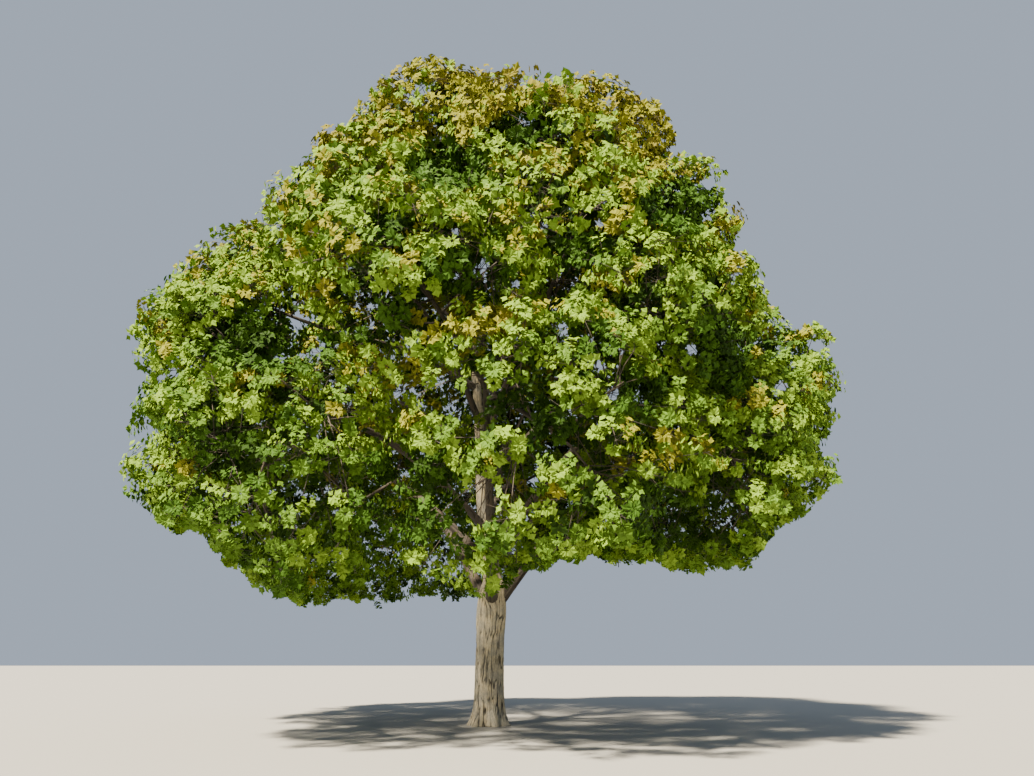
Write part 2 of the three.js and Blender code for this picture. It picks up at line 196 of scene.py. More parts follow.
# Maple leaves: thin, smooth and slightly waxy, so they catch a soft broad sheen. Each tint is a plain colour,
# and fine veins show only in its gloss and relief.
leafTints = {
    "shade": {"slot": "leaf_deep", "colour": "#22380d"},
    "deep": {"slot": "leaf_deep", "colour": "#334f16"},
    "mid": {"slot": "leaf_mid", "colour": "#4d6b21"},
    "fresh": {"slot": "leaf_fresh", "colour": "#678428"},
    "olive": {"slot": "leaf_olive", "colour": "#707322"},
    "bronze": {"slot": "leaf_bronze", "colour": "#6d6923"},
    "gold": {"slot": "leaf_bronze", "colour": "#7c7425"},
}
leafSurface = {
    "gloss": {"To Min": 0.5, "To Max": 0.7}, "sheen": 0.06, "bumpStrength": 0.4,
    "vein": 0.006, "bump": 0.0015,  # metres
}


def leafMaterial(name, colour):
    material, tree = newMaterial(name)
    place = addNode(tree, "TexCoord").outputs["Object"]
    veinNoise = {"Scale": 1 / leafSurface["vein"], "Detail": 1.0}
    veins = addNode(tree, "TexNoise", veinNoise, {"Vector": place}).outputs["Fac"]
    gloss = addNode(tree, "MapRange", leafSurface["gloss"], {"Value": veins}).outputs["Result"]
    relief = {"Strength": leafSurface["bumpStrength"], "Distance": leafSurface["bump"]}
    bump = addNode(tree, "Bump", relief, {"Height": veins}).outputs["Normal"]
    shader = addNode(tree, "BsdfPrincipled",
                     {"Base Color": hexColour(colour), "Specular IOR Level": leafSurface["sheen"]},
                     {"Roughness": gloss, "Normal": bump})
    addNode(tree, "OutputMaterial", {}, {"Surface": shader.outputs["BSDF"]})
    return material


# Pieces

# A mesh from whole arrays: points (n, 3), triangles (m, 3), and a number at each point for the bark.
def makePiece(name, points, triangles, material, nodes, furrow=None, smooth=True):
    mesh = bpy.data.meshes.new(name)
    mesh.vertices.add(len(points))
    mesh.vertices.foreach_set("co", points.astype(np.float32).ravel())
    mesh.loops.add(triangles.size)
    mesh.loops.foreach_set("vertex_index", triangles.astype(np.int32).ravel())
    mesh.polygons.add(len(triangles))
    mesh.polygons.foreach_set("loop_start", np.arange(0, triangles.size, 3, dtype=np.int32))
    mesh.polygons.foreach_set("use_smooth", np.full(len(triangles), smooth))
    if furrow is not None:
        attribute = mesh.attributes.new("furrow", "FLOAT", "POINT")
        attribute.data.foreach_set("value", furrow.astype(np.float32).ravel())
    mesh.update(calc_edges=True)
    mesh.materials.append(material)
    piece = addObject(name, mesh)
    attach(piece, "root")
    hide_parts(*nodes)


# Triangles of a closed skin over rings of points, each ring joined to the next, with a fan at both ends.
def skinTriangles(ringCount, sides):
    ring, side = np.meshgrid(np.arange(ringCount - 1), np.arange(sides), indexing="ij")
    low, high = ring * sides + side, ring * sides + (side + 1) % sides
    walls = np.stack([low, high, high + sides, low, high + sides, low + sides], -1).reshape(-1, 3)
    fan = np.arange(1, sides - 1)
    last = (ringCount - 1) * sides
    foot = np.stack([np.zeros_like(fan), fan + 1, fan], -1)
    head = np.stack([np.full_like(fan, last), last + fan, last + fan + 1], -1)
    return np.concatenate([walls, foot, head])


# Chance, noise and directions

# A repeatable number between 0 and 1 for three whole numbers: the fraction of 43758.5453 * sin(mix).
def chance(first, second, third):
    wave = np.sin(first * 12.9898 + second * 78.233 + third * 37.719 + 4.1) * 43758.5453
    return wave - np.floor(wave)


def swing(first, second, third):
    return 2 * chance(first, second, third) - 1


# Smooth noise between -1 and 1 on a lattice that wraps across: corners are swings, and between them
# the blend is t * t * (3 - 2 * t) both ways.
def wrappedNoise(across, along, cells, seed):
    column, row = np.floor(across), np.floor(along)
    right, top = across - column, along - row
    right, top = right * right * (3 - 2 * right), top * top * (3 - 2 * top)
    near, far = np.mod(column, cells), np.mod(column + 1, cells)
    low = swing(near, row, seed) * (1 - right) + swing(far, row, seed) * right
    high = swing(near, row + 1, seed) * (1 - right) + swing(far, row + 1, seed) * right
    return low * (1 - top) + high * top


def unit(vectors):
    return vectors / np.linalg.norm(vectors, axis=-1, keepdims=True)


# Two directions square to each line and to each other. A nearly upright line is set against +X, not +Z.
def squareTo(along):
    reference = np.where(np.abs(along[..., 2:]) > 0.95, [1.0, 0.0, 0.0], [0.0, 0.0, 1.0])
    side = unit(np.cross(along, reference))
    return side, np.cross(along, side)


# Bark relief: plates parted by furrows. A furrow runs where slow noise crosses zero, so the plate share is
# 1 - exp(-(noise / edge)^2), and a finer noise chips the plates.
barkRelief = {
    "plateWidth": 0.045, "plateLength": 0.4, "depth": 0.018,  # metres
    "edge": 0.2, "drift": 0.9, "driftRows": 0.9, "fineRows": 2.3, "fineShare": 0.35,
    "chipWidth": 0.03, "chipLength": 0.05, "chips": 0.009,  # metres
}


def furrowShare(around, along, girth, seed):
    cells = max(6, round(girth / barkRelief["plateWidth"]))
    rows = along / barkRelief["plateLength"]
    drift = wrappedNoise(around * cells / 3, rows * barkRelief["driftRows"], cells // 3, seed + 5)
    drift = barkRelief["drift"] * drift
    broad = wrappedNoise(around * cells + drift, rows, cells, seed)
    fine = wrappedNoise(around * cells * 2 + drift, rows * barkRelief["fineRows"], cells * 2, seed + 1)
    noise = broad + barkRelief["fineShare"] * fine
    return 1 - np.exp(-(noise / barkRelief["edge"]) ** 2)


def chipShare(around, along, girth, seed):
    cells = max(12, round(girth / barkRelief["chipWidth"]))
    return 0.5 + 0.5 * wrappedNoise(around * cells, along / barkRelief["chipLength"], cells, seed + 9)


# Trunk

trunk = {
    "stemRadius": 0.372, "forkHeight": 3.6, "forkRadius": 0.315, "lean": 0.095,
    "flare": (0.098, 0.33), "ridges": (0.105, 0.24),  # how far they stand out, and how high they reach
    "ridgeWaves": ((6, 0.7), (4, 2.0)), "secondWave": 0.5,  # ridges round the foot and their turn
    "flutes": 5, "fluteDepth": 0.011, "fluteTwist": 0.9,
    "forkSwell": (0.048, 2.75, 0.52),  # how far it stands out, its height and its half-length
    "shoulder": 0.34, "shoulderFall": 0.72,  # the top rounds over onto the leader within this height
    "sides": 240, "rings": 170, "barkSeed": 1,
}


# The middle line leans by lean * (height / fork height)^2.
def trunkAxis(height):
    return np.stack([trunk["lean"] * (height / trunk["forkHeight"]) ** 2, np.zeros_like(height), height], -1)


# Distance from the middle line to the wood: taper, flare, root ridges, flutes and the swell under the fork.
def trunkRadius(height, bearing):
    flare, ridges, swell = trunk["flare"], trunk["ridges"], trunk["forkSwell"]
    (first, firstTurn), (second, secondTurn) = trunk["ridgeWaves"]
    taper = (height / trunk["forkHeight"]) ** 3
    stem = trunk["stemRadius"] * (1 - taper) + trunk["forkRadius"] * taper
    wave = np.cos(first * bearing + firstTurn) + trunk["secondWave"] * np.cos(second * bearing + secondTurn)
    return (stem + flare[0] * np.exp(-height / flare[1]) + ridges[0] * np.exp(-height / ridges[1]) * wave
            + trunk["fluteDepth"] * np.cos(trunk["flutes"] * bearing + height / trunk["fluteTwist"])
            + swell[0] * np.exp(-(((height - swell[1]) / swell[2]) ** 2)))


# Each point lies on the middle line plus the wood's radius, less the furrow and the chips, along its bearing.
def makeTrunk(material):
    share = np.linspace(0, 1, trunk["rings"])[:, None]
    around = (np.arange(trunk["sides"]) / trunk["sides"])[None, :]
    height, around = np.broadcast_arrays(share * trunk["forkHeight"], around)
    bearing = around * fullTurn
    girth = fullTurn * trunk["stemRadius"]
    furrow = furrowShare(around, height, girth, trunk["barkSeed"])
    chips = chipShare(around, height, girth, trunk["barkSeed"])
    over = np.clip((height - (trunk["forkHeight"] - trunk["shoulder"])) / trunk["shoulder"], 0, 1)
    rounding = np.sqrt(np.clip(1 - (trunk["shoulderFall"] * over) ** 2, 0, 1))
    wood = trunkRadius(height, bearing) * rounding
    radius = wood - barkRelief["depth"] * (1 - furrow) - barkRelief["chips"] * chips
    outward = np.stack([np.cos(bearing), np.sin(bearing), np.zeros_like(height)], -1)
    points = trunkAxis(height) + radius[..., None] * outward
    triangles = skinTriangles(trunk["rings"], trunk["sides"])
    makePiece("trunk_bark", points.reshape(-1, 3), triangles, material, ["trunk"], furrow)
    return len(triangles)


# Limbs

leader = {
    "foot": 3.45, "bends": [(-0.19, 0.02, 5.3), (-0.42, 0.06, 8.64), (-0.82, 0.1, 12.2)],
    "rootRadius": 0.215, "tipRadius": 0.092,
}
lowBoughs = {"roots": [2.75, 3.95, 4.95], "rootRadii": [0.15, 0.118, 0.104], "tipRadius": 0.07, "inset": 1.65}
upperBoughs = {
    "shoulder": {
        "name": "bough_high", "lowest": 5.9, "highest": 9.0, "rootRadius": 0.096, "tipRadius": 0.066},
    "crest": {
        "name": "bough_crest", "lowest": 9.3, "highest": 10.9, "rootRadius": 0.074, "tipRadius": 0.06},
    "top": {
        "name": "bough_top", "lowest": 11.4, "highest": 12.15, "rootRadius": 0.064, "tipRadius": 0.058},
}
boughOrder = 5  # boughs of a ring leave the leader in steps of five places
boughLift = 0.07
boughEntry = 0.8
collar = {"swell": 0.3, "length": 0.42}


# A smooth curve through points, read by arc length. Between points 1 and 2 of each four it is a cubic whose
# end slopes come from the distances between points, each to the power 1/2.
class Limb:
    def __init__(self, name, points, rootRadius, tipRadius):
        self.name, self.rootRadius, self.tipRadius = name, rootRadius, tipRadius
        points = np.array(points, float)
        self.knots = np.concatenate([[2 * points[0] - points[1]], points, [2 * points[-1] - points[-2]]])
        self.times = np.linspace(0, 1, 201)  # fine enough to measure the length
        steps = np.linalg.norm(np.diff(self.byTime(self.times), axis=0), axis=1)
        self.lengths = np.concatenate([[0], np.cumsum(steps)])
        self.length = self.lengths[-1]

    def byTime(self, time):
        count = len(self.knots) - 3
        place = np.clip(np.floor(time * count), 0, count - 1).astype(int)
        t = (time * count - place)[..., None]
        p0, p1, p2, p3 = (self.knots[place + i] for i in range(4))
        d0, d1, d2 = (np.linalg.norm(b - a, axis=-1, keepdims=True) ** 0.5
                      for a, b in ((p0, p1), (p1, p2), (p2, p3)))
        slope1 = ((p1 - p0) / d0 - (p2 - p0) / (d0 + d1) + (p2 - p1) / d1) * d1
        slope2 = ((p2 - p1) / d1 - (p3 - p1) / (d1 + d2) + (p3 - p2) / d2) * d1
        return (p1 + slope1 * t + (3 * (p2 - p1) - 2 * slope1 - slope2) * t ** 2
                + (2 * (p1 - p2) + slope1 + slope2) * t ** 3)

    def timeAt(self, share):
        return np.interp(np.asarray(share) * self.length, self.lengths, self.times)

    def at(self, share):
        return self.byTime(self.timeAt(share))

    # The direction between two points a little before and after.
    def along(self, share):
        time = self.timeAt(share)
        return unit(self.byTime(np.clip(time + 1e-4, 0, 1)) - self.byTime(np.clip(time - 1e-4, 0, 1)))

    # Taper from root to tip as (1 - share)^1.25, thicker by the collar at the root.
    def radius(self, share):
        taper = self.tipRadius + (self.rootRadius - self.tipRadius) * (1 - share) ** 1.25
        return taper * (1 + collar["swell"] * np.exp(-share * self.length / collar["length"]))


# A place on the middle line of the trunk or, above the fork, of the leader.
def stemPoint(leaderLimb, height):
    if height <= trunk["forkHeight"]:
        return trunkAxis(np.array(height))
    share = (height - leader["foot"]) / (leaderLimb.at(1.0)[2] - leader["foot"])
    return leaderLimb.at(min(max(share, 0.0), 1.0))


# A bough climbs steeply at first and levels out: both its bends are lifted by the same share of its length.
def makeBough(name, start, tip, rootRadius, tipRadius):
    run = tip - start
    lift = np.array([0, 0, boughLift * np.linalg.norm(run)])
    return Limb(name, [start, start + run / 3 + lift, start + run * 2 / 3 + lift, tip], rootRadius, tipRadius)


# Foliage spaces

crownProfile = np.array([  # height, half-width to the left, half-width to the right
    (3.2, 8.4, 8.65), (5.0, 9.8, 9.55), (7.0, 8.4, 8.15), (9.0, 8.95, 9.2),
    (11.0, 8.95, 7.5), (13.0, 6.4, 6.7), (15.0, 4.45, 7.2), (16.5, 4.9, 5.35)])
rings = {
    "skirt": {"height": 5.77, "count": 8, "radius": 2.75, "turn": 6, "reach": 0.84, "sideLift": 0.5},
    "middle": {"height": 8.47, "count": 8, "radius": 2.15, "turn": -13, "reach": 0.69, "sideLift": -0.2},
    "shoulder": {"height": 10.56, "count": 7, "radius": 2.6, "turn": -13, "reach": 0.965, "sideLift": 0.4},
    "crest": {"height": 13.77, "count": 6, "radius": 2.7, "turn": -18, "reach": 0.765, "sideLift": -0.1},
    "top": {"height": 15.76, "count": 4, "radius": 2.23, "turn": -33, "reach": 0.995, "sideLift": 0.37},
}
flatten = np.array([1, 1, 0.86])  # the masses are balls flattened to this height
scatter = {"height": 0.26, "bearing": 5, "radius": 0.05}
scatterSeeds = {"height": 21, "bearing": 6, "radius": 52}


def crownRadius(height, bearing):
    left = np.interp(height, crownProfile[:, 0], crownProfile[:, 1])
    right = np.interp(height, crownProfile[:, 0], crownProfile[:, 2])
    return (left + right) / 2 + (right - left) / 2 * math.cos(bearing)


# Each ring's masses stand at even bearings, swayed a little, reach * radius inside the crown's profile.
def placeMasses():
    masses = []
    for ring, size in rings.items():
        for place in range(size["count"]):
            number = len(masses)
            sway = scatter["bearing"] * swing(number, 1, scatterSeeds["bearing"])
            bearing = math.radians(size["turn"] + 360 * place / size["count"] + sway)
            lift = size["sideLift"] * math.cos(bearing) ** 2
            height = size["height"] + lift + scatter["height"] * swing(number, 2, scatterSeeds["height"])
            radius = size["radius"] * (1 + scatter["radius"] * swing(number, 3, scatterSeeds["radius"]))
            out = crownRadius(height, bearing) - size["reach"] * radius
            centre = np.array([out * math.cos(bearing), out * math.sin(bearing), height])
            name = f"foliage_{ring}_{place + 1}"
            masses.append({"name": name, "ring": ring, "centre": centre, "radius": radius})
    return masses


# The low boughs each reach between two masses, one of the skirt and one of the middle ring. The others each
# end where they enter their own mass.
def growLimbs(masses):
    foot = trunkAxis(np.array(leader["foot"]))
    leaderLimb = Limb("leader", [foot, *leader["bends"]], leader["rootRadius"], leader["tipRadius"])
    limbs = [leaderLimb]
    byRing = {ring: [m for m in masses if m["ring"] == ring] for ring in rings}
    for place, (low, high) in enumerate(zip(byRing["skirt"], byRing["middle"])):
        turn = place % len(lowBoughs["roots"])
        tip = (low["centre"] + high["centre"]) / 2
        tip = tip + lowBoughs["inset"] * unit(np.array([-tip[0], -tip[1], 0.0]))
        bough = makeBough(f"bough_low_{place + 1}", stemPoint(leaderLimb, lowBoughs["roots"][turn]), tip,
                          lowBoughs["rootRadii"][turn], lowBoughs["tipRadius"])
        low["bough"] = high["bough"] = bough
        limbs.append(bough)
    for ring, size in upperBoughs.items():
        count = len(byRing[ring])
        for place, mass in enumerate(byRing[ring]):
            climb = (size["highest"] - size["lowest"]) * (place * boughOrder % count) / (count - 1)
            start = stemPoint(leaderLimb, size["lowest"] + climb)
            entry = boughEntry * mass["radius"] / np.linalg.norm(mass["centre"] - start)
            tip = mass["centre"] + (start - mass["centre"]) * entry
            name = f"{size['name']}_{place + 1}"
            mass["bough"] = makeBough(name, start, tip, size["rootRadius"], size["tipRadius"])
            limbs.append(mass["bough"])
    return limbs


limbMesh = {
    "sideLength": 0.02, "ringLength": 0.07, "fewestSides": 14,
    "deepest": 0.1,  # furrows are no deeper than this share of the wood's radius
    "firstSeed": 40, "seedStep": 20,
}


# A ring of points round each place on the limb's curve, at the wood's radius less the furrow.
def makeLimb(limb, seed, material):
    girth = fullTurn * limb.rootRadius
    sides = max(limbMesh["fewestSides"], round(girth / limbMesh["sideLength"]))
    count = round(limb.length / limbMesh["ringLength"])
    share = np.linspace(0, 1, count)
    tangent = limb.along(share)
    reference = np.eye(3)[np.argmin(np.abs(limb.along(0.5)))]
    side = unit(np.cross(tangent, reference))
    other = np.cross(tangent, side)
    around = np.broadcast_to(np.arange(sides) / sides, (count, sides))
    bearing = around * fullTurn
    length = np.broadcast_to((share * limb.length)[:, None], (count, sides))
    furrow = furrowShare(around, length, girth, seed)
    wood = limb.radius(share)[:, None]
    radius = wood - np.minimum(barkRelief["depth"], limbMesh["deepest"] * wood) * (1 - furrow)
    points = limb.at(share)[:, None] + radius[..., None] * (
        np.cos(bearing)[..., None] * side[:, None] + np.sin(bearing)[..., None] * other[:, None])
    triangles = skinTriangles(count, sides)
    makePiece(limb.name + "_bark", points.reshape(-1, 3), triangles, material, [limb.name], furrow)
    return len(triangles)


# Twigs

massStem = {"sink": 0.12, "overrun": 0.3, "rootRadius": 0.062, "tipRadius": 0.03, "sides": 7, "steps": 5}
twig = {
    "count": 6, "reach": 0.73, "rootRadius": 0.027, "tipRadius": 0.014, "sides": 5, "steps": 4,
    "first": 0.9, "span": 1.6,  # lean of the first twig, and how far the lean falls over all of them
    "lowest": 0.42, "rootSpan": 0.56,  # where they leave the stem
    "arch": 0.12, "wallMargin": 0.006, "seed": 5,
}


# Directions that wind round each axis by the golden angle: lean = first - span * (n + chance / 2) / count
# along the axis and sqrt(1 - lean^2) across it, at bearing n * golden angle + turn.
def windRound(axes, count, first, span, loose, turn):
    side, other = squareTo(axes)
    number = np.arange(count)
    lean = first - span * (number + 0.5 * loose) / count
    bearing = number * goldenAngle + turn
    across = np.sqrt(1 - lean ** 2)
    return (axes[..., None, :] * lean[..., None] + side[..., None, :] * (across * np.cos(bearing))[..., None]
            + other[..., None, :] * (across * np.sin(bearing))[..., None]), lean


# How far inside a mass's space points lie, in metres: from the nearest plane between it and a neighbour, and
# from its flattened ball. A plane lies where both balls' powers, distance^2 - radius^2, agree.
def depthInSpace(points, owner, centres, radii):
    here = points / flatten
    balls = centres / flatten
    power = np.sum((here[:, None] - balls[None]) ** 2, -1) - radii ** 2
    own = power[np.arange(len(points)), owner]
    apart = np.linalg.norm(balls[owner][:, None] - balls[None], axis=-1)
    apart[np.arange(len(points)), owner] = np.inf
    fromPlane = (power - own[:, None]) / (2 * np.maximum(apart, 1e-6))
    wall = np.min(np.where(np.isinf(apart), np.inf, fromPlane), axis=1)
    ball = -own / (2 * radii[owner])
    return wall, ball


# Distance from each point to the surface of the nearest limb, taken as twelve straight stretches.
def clearOfWood(points, limbs):
    nearest = np.full(len(points), np.inf)
    share = np.linspace(0, 1, 13)
    for limb in limbs:
        line = limb.at(share)
        start, run = line[:-1], np.diff(line, axis=0)
        offset = points[:, None] - start[None]
        t = np.clip(np.sum(offset * run, -1) / np.sum(run * run, -1), 0, 1)
        gap = np.linalg.norm(offset - t[..., None] * run, axis=-1) - limb.radius(share[:-1])
        nearest = np.minimum(nearest, gap.min(1))
    return nearest


# A place on a line bent from start past bend to end: (1 - s)^2 * start + 2 * s * (1 - s) * bend + s^2 * end.
def onBentLine(start, bend, end, share):
    return (1 - share) ** 2 * start + 2 * share * (1 - share) * bend + share ** 2 * end


# Many thin tubes at once, each round a bent line.
def bentTubes(start, bend, end, size):
    sides, steps = size["sides"], size["steps"]
    share = np.linspace(0, 1, steps + 1)[None, :, None]
    line = onBentLine(start[:, None], bend[:, None], end[:, None], share)
    side, other = squareTo(unit(end - start))
    bearing = (np.arange(sides) / sides * fullTurn)[None, None, :, None]
    radius = (size["rootRadius"] + (size["tipRadius"] - size["rootRadius"]) * share)[..., None]
    around = np.cos(bearing) * side[:, None, None] + np.sin(bearing) * other[:, None, None]
    points = line[:, :, None] + radius * around
    triangles = skinTriangles(steps + 1, sides)
    whole = triangles[None] + (np.arange(len(start)) * (steps + 1) * sides)[:, None, None]
    return points.reshape(-1, 3), whole.reshape(-1, 3)


# Many three-sided spikes at once, each from a small triangle to a point.
def taperedSpikes(start, end, radius):
    side, other = squareTo(unit(end - start))
    bearing = (np.arange(3) / 3 * fullTurn)[None, :, None]
    foot = start[:, None] + radius * (np.cos(bearing) * side[:, None] + np.sin(bearing) * other[:, None])
    points = np.concatenate([foot, end[:, None]], axis=1)
    faces = np.array([(0, 1, 3), (1, 2, 3), (2, 0, 3), (0, 2, 1)])
    return points.reshape(-1, 3), (faces[None] + (np.arange(len(start)) * 4)[:, None, None]).reshape(-1, 3)


# The stem of each mass, and its twigs by the source's rule.
def growTwigs(masses, centres, radii, axes, roots):
    number = np.arange(len(masses))
    boughEnds = np.array([m["bough"].along(1.0) for m in masses])
    stemEnds = centres + massStem["overrun"] * radii[:, None] * axes
    stems = bentTubes(roots - massStem["sink"] * boughEnds, (roots + stemEnds) / 2, stemEnds, massStem)
    count = twig["count"]
    loose = chance(number[:, None], np.arange(count)[None], twig["seed"])
    turn = fullTurn * chance(number, 0, twig["seed"] + 1)[:, None]
    out, lean = windRound(axes, count, twig["first"], twig["span"], loose, turn)
    ends = centres[:, None] + out * (twig["reach"] * radii)[:, None, None] * flatten
    climb = 1 - (twig["first"] - lean) / twig["span"]
    along = (twig["lowest"] + twig["rootSpan"] * climb)[..., None]
    starts = roots[:, None] + (stemEnds - roots)[:, None] * along
    bends = (starts + ends) / 2 + np.array([0, 0, twig["arch"]])
    wall, ball = depthInSpace(ends.reshape(-1, 3), np.repeat(number, count), centres, radii)
    fits = (np.minimum(wall, ball) > twig["wallMargin"]).reshape(len(masses), count)
    twigs = bentTubes(starts[fits], bends[fits], ends[fits], twig)
    return stems, twigs, {"starts": starts, "bends": bends, "ends": ends, "fits": fits}


# Places read in the picture, in its pixels

# Small openings where the sky shows, with a radius, or the stem, with a half-width and a half-height.
skyGaps = [(612, 394, 9), (483, 266, 7), (693, 350, 7), (783, 386, 6), (456, 231, 6), (457, 276, 5),
           (600, 366, 5), (517, 284, 4), (600, 224, 4), (174, 374, 4), (161, 378, 4), (543, 226, 3),
           (622, 352, 3)]
stemGaps = [(480, 500, 17, 26), (477, 392, 12, 22)]
gapEdge = {"margin": 2, "least": 0.55, "swing": 0.8, "seed": 91}
stemFront = -0.3  # Y in metres: leaves between it and the viewer would hide the stem

# The lower edge of the crown as the viewer sees it, from left to right. It is tufted by smooth noise.
lowerEdge = np.array([
    (130, 505), (160, 520), (202, 542), (241, 580), (300, 606), (400, 606), (450, 600), (505, 596),
    (520, 576), (574, 560), (650, 562), (690, 572), (750, 562), (780, 532), (812, 503), (850, 480)])
edgeMargin = 12
edgeTufts = {"height": 9, "width": 16, "cells": 200, "seed": 71}

# Hollows between the boughs, dark in their own shade, with a half-width and a half-height. There the sprigs
# on the viewer's side are shorter by this share, and their leaves take darker tints as painted shade.
hollows = [(410, 496, 52, 44), (270, 340, 62, 30), (380, 318, 30, 22), (466, 268, 46, 22), (450, 165, 38, 24),
           (682, 205, 38, 24), (575, 248, 26, 22), (593, 338, 18, 20), (552, 424, 22, 26), (725, 350, 26, 38),
           (640, 390, 30, 20), (225, 446, 34, 24), (664, 515, 34, 34), (382, 228, 18, 17), (526, 130, 25, 19)]
hollowDepth = 0.3

# Behind these places the sprigs of the far side that point inwards grow too, so that less sky shows through.
backing = [(395, 535, 80, 55), (480, 455, 90, 60)]
backingEdge = 0.3

# Places where the sprays on the viewer's side take lighter, warmer tints: painted sunlight, as on bright
# shelves of leaves.
paintedSunlitShelves = [(370, 388, 80, 44), (540, 476, 76, 30), (460, 318, 70, 26), (185, 466, 40, 28), (250, 378, 62, 22),
           (650, 442, 60, 22)]
placeEdge = 1.4
viewerSide = -1.0  # Y in metres, where the viewer's side of the crown ends


# 1 well inside a place and 0 outside: the place's edge less the square of the distance from its middle, in
# half-widths and half-heights.
def shareIn(places, points):
    u, v = toPicture(points)[:2]
    share = np.zeros(u.shape)
    for placeU, placeV, halfWidth, halfHeight in places:
        away = ((u - placeU) / halfWidth) ** 2 + ((v - placeV) / halfHeight) ** 2
        share = np.maximum(share, np.clip(placeEdge - away, 0, 1))
    return share


# The same, for the viewer's side of the crown alone.
def nearShareIn(places, points):
    return shareIn(places, points) * (points[..., 1] < viewerSide)


def overEdge(points):
    u, v = toPicture(points)[:2]
    tufts = wrappedNoise(u / edgeTufts["width"], u * 0, edgeTufts["cells"], edgeTufts["seed"])
    return v < np.interp(u, lowerEdge[:, 0], lowerEdge[:, 1]) + edgeTufts["height"] * tufts


# Sprigs that would end under the lower edge are raised to end a little over it.
def liftOverEdge(points):
    u, v, depth = toPicture(points)
    under = np.clip(v + edgeMargin - np.interp(u, lowerEdge[:, 0], lowerEdge[:, 1]), 0, None)
    lift = under * depth / focalPixels / math.cos(pitch)
    return points + lift[..., None] * np.array([0, 0, 1.0])


# The crown's envelope: the soft union of the flattened balls, -blend * log(sum of exp(-gap / blend)), where
# a gap is the distance outside a ball. It rounds over the grooves between them. Sprays hang further out of
# its foot.
envelope = {"blend": 0.45, "nearest": -2, "farthest": 4, "loose": 0.14, "foot": 5.2, "hang": 1.0}


def insideCrown(points, centres, radii):
    total = np.zeros(len(points))
    for centre, radius in zip(centres, radii):
        gap = np.linalg.norm((points - centre) / flatten, axis=1) - radius
        total += np.exp(-np.clip(gap, envelope["nearest"], envelope["farthest"]) / envelope["blend"])
    below = np.clip(envelope["foot"] - points[:, 2], 0, 1)
    return -envelope["blend"] * np.log(total) < envelope["loose"] + envelope["hang"] * below


# Whether points lie inside the solids' box, by a margin.
def insideBox(points, margin):
    low, high = np.array(cadBox[0]) + margin, np.array(cadBox[1]) - margin
    return np.all((points > low) & (points < high), axis=-1)


# Clumps of leaves end the sprigs, which spread over each foliage space by the winding rule of the twigs.
# Sprigs that point out of the crown stop at outReach, and those that point sideways at sideReach, both as
# shares of the mass's radius, so that neighbouring clumps meet. Of those that point back into the crown only
# a share grows. Inner clumps hold large shade leaves.
clumpKinds = {
    "outer": {
        "seed": 15, "count": 94, "outReach": 0.72, "sideReach": 0.96, "reachSwing": 0.18, "inwardShare": 0.12,
        "twiglets": 11, "length": 0.52, "spread": 1.15, "leaves": 18, "leafLength": 0.156},
    "inner": {
        "seed": 65, "count": 34, "outReach": 0.45, "sideReach": 0.6, "reachSwing": 0.12, "inwardShare": 0.5,
        "twiglets": 4, "length": 0.6, "spread": 1.7, "leaves": 11, "leafLength": 0.2},
}
crownHeart = np.array([-0.3, 0.0, 8.0])
hanging = {"below": 7.0, "reach": 0.4, "inwardShare": 0.5}  # low masses reach down and are fuller inside
sprig = {
    "first": 0.98, "span": 1.93, "rootRadius": 0.013, "tipRadius": 0.007, "sides": 3, "steps": 2,
    "leavesFrom": 0.35, "leavesSpan": 0.6,  # where it leaves its twig
    "bendAt": 0.55, "arch": 0.12,
    "shortened": 0.86,  # where it would leave the crown
    "backward": -0.25,  # with a smaller part outwards it counts as pointing back into the crown
    "thinning": 1.4,  # small masses have fewer, by this power of their radius
    "wallMargin": -0.3, "limbMargin": 0.12,
}
twiglet = {
    "first": 0.98, "lengthSwing": 0.24, "clumpSwing": 0.38, "backShare": 0.25, "rootRadius": 0.006,
    "lift": 0.4, "flattening": 0.66, "boxMargin": 0.02,
}


# Where sprigs end: at their reach from the middle of the mass, less in hollows and where they would leave the
# crown, and over its lower edge.
def sprigEnds(kind, centres, radii, out, outward):
    number, place = np.arange(len(centres))[:, None], np.arange(kind["count"])[None]
    sideways = 1 - np.clip(outward, 0, 1) ** 2
    low = centres[:, None, 2] < hanging["below"]
    reach = (kind["outReach"] + (kind["sideReach"] - kind["outReach"]) * sideways
             + kind["reachSwing"] * swing(number, place, kind["seed"] + 2)
             + hanging["reach"] * np.clip(-out[..., 2], 0, 1) * low)
    ends = centres[:, None] + out * (reach * radii[:, None])[..., None] * flatten
    beyond = ~insideCrown(ends.reshape(-1, 3), centres, radii).reshape(reach.shape)
    reach = reach * (1 - hollowDepth * nearShareIn(hollows, ends))
    reach = np.where(beyond, sprig["shortened"] * reach, reach)
    return liftOverEdge(centres[:, None] + out * (reach * radii[:, None])[..., None] * flatten)


def sprigGrows(kind, limbs, centres, radii, ends, outward, owner):
    index = np.arange(len(ends))
    wall = depthInSpace(ends, owner, centres, radii)[0]
    inward = np.where(centres[owner, 2] < hanging["below"], hanging["inwardShare"], kind["inwardShare"])
    grows = (outward > sprig["backward"]) | (chance(index, 0, kind["seed"] + 4) < inward)
    grows |= (shareIn(backing, ends) > backingEdge) & (ends[:, 1] > 0)
    grows &= chance(index, 1, kind["seed"] + 4) < (radii[owner] / radii.max()) ** sprig["thinning"]
    grows &= (wall > sprig["wallMargin"]) & (clearOfWood(ends, limbs) > sprig["limbMargin"])
    return grows & overEdge(ends)


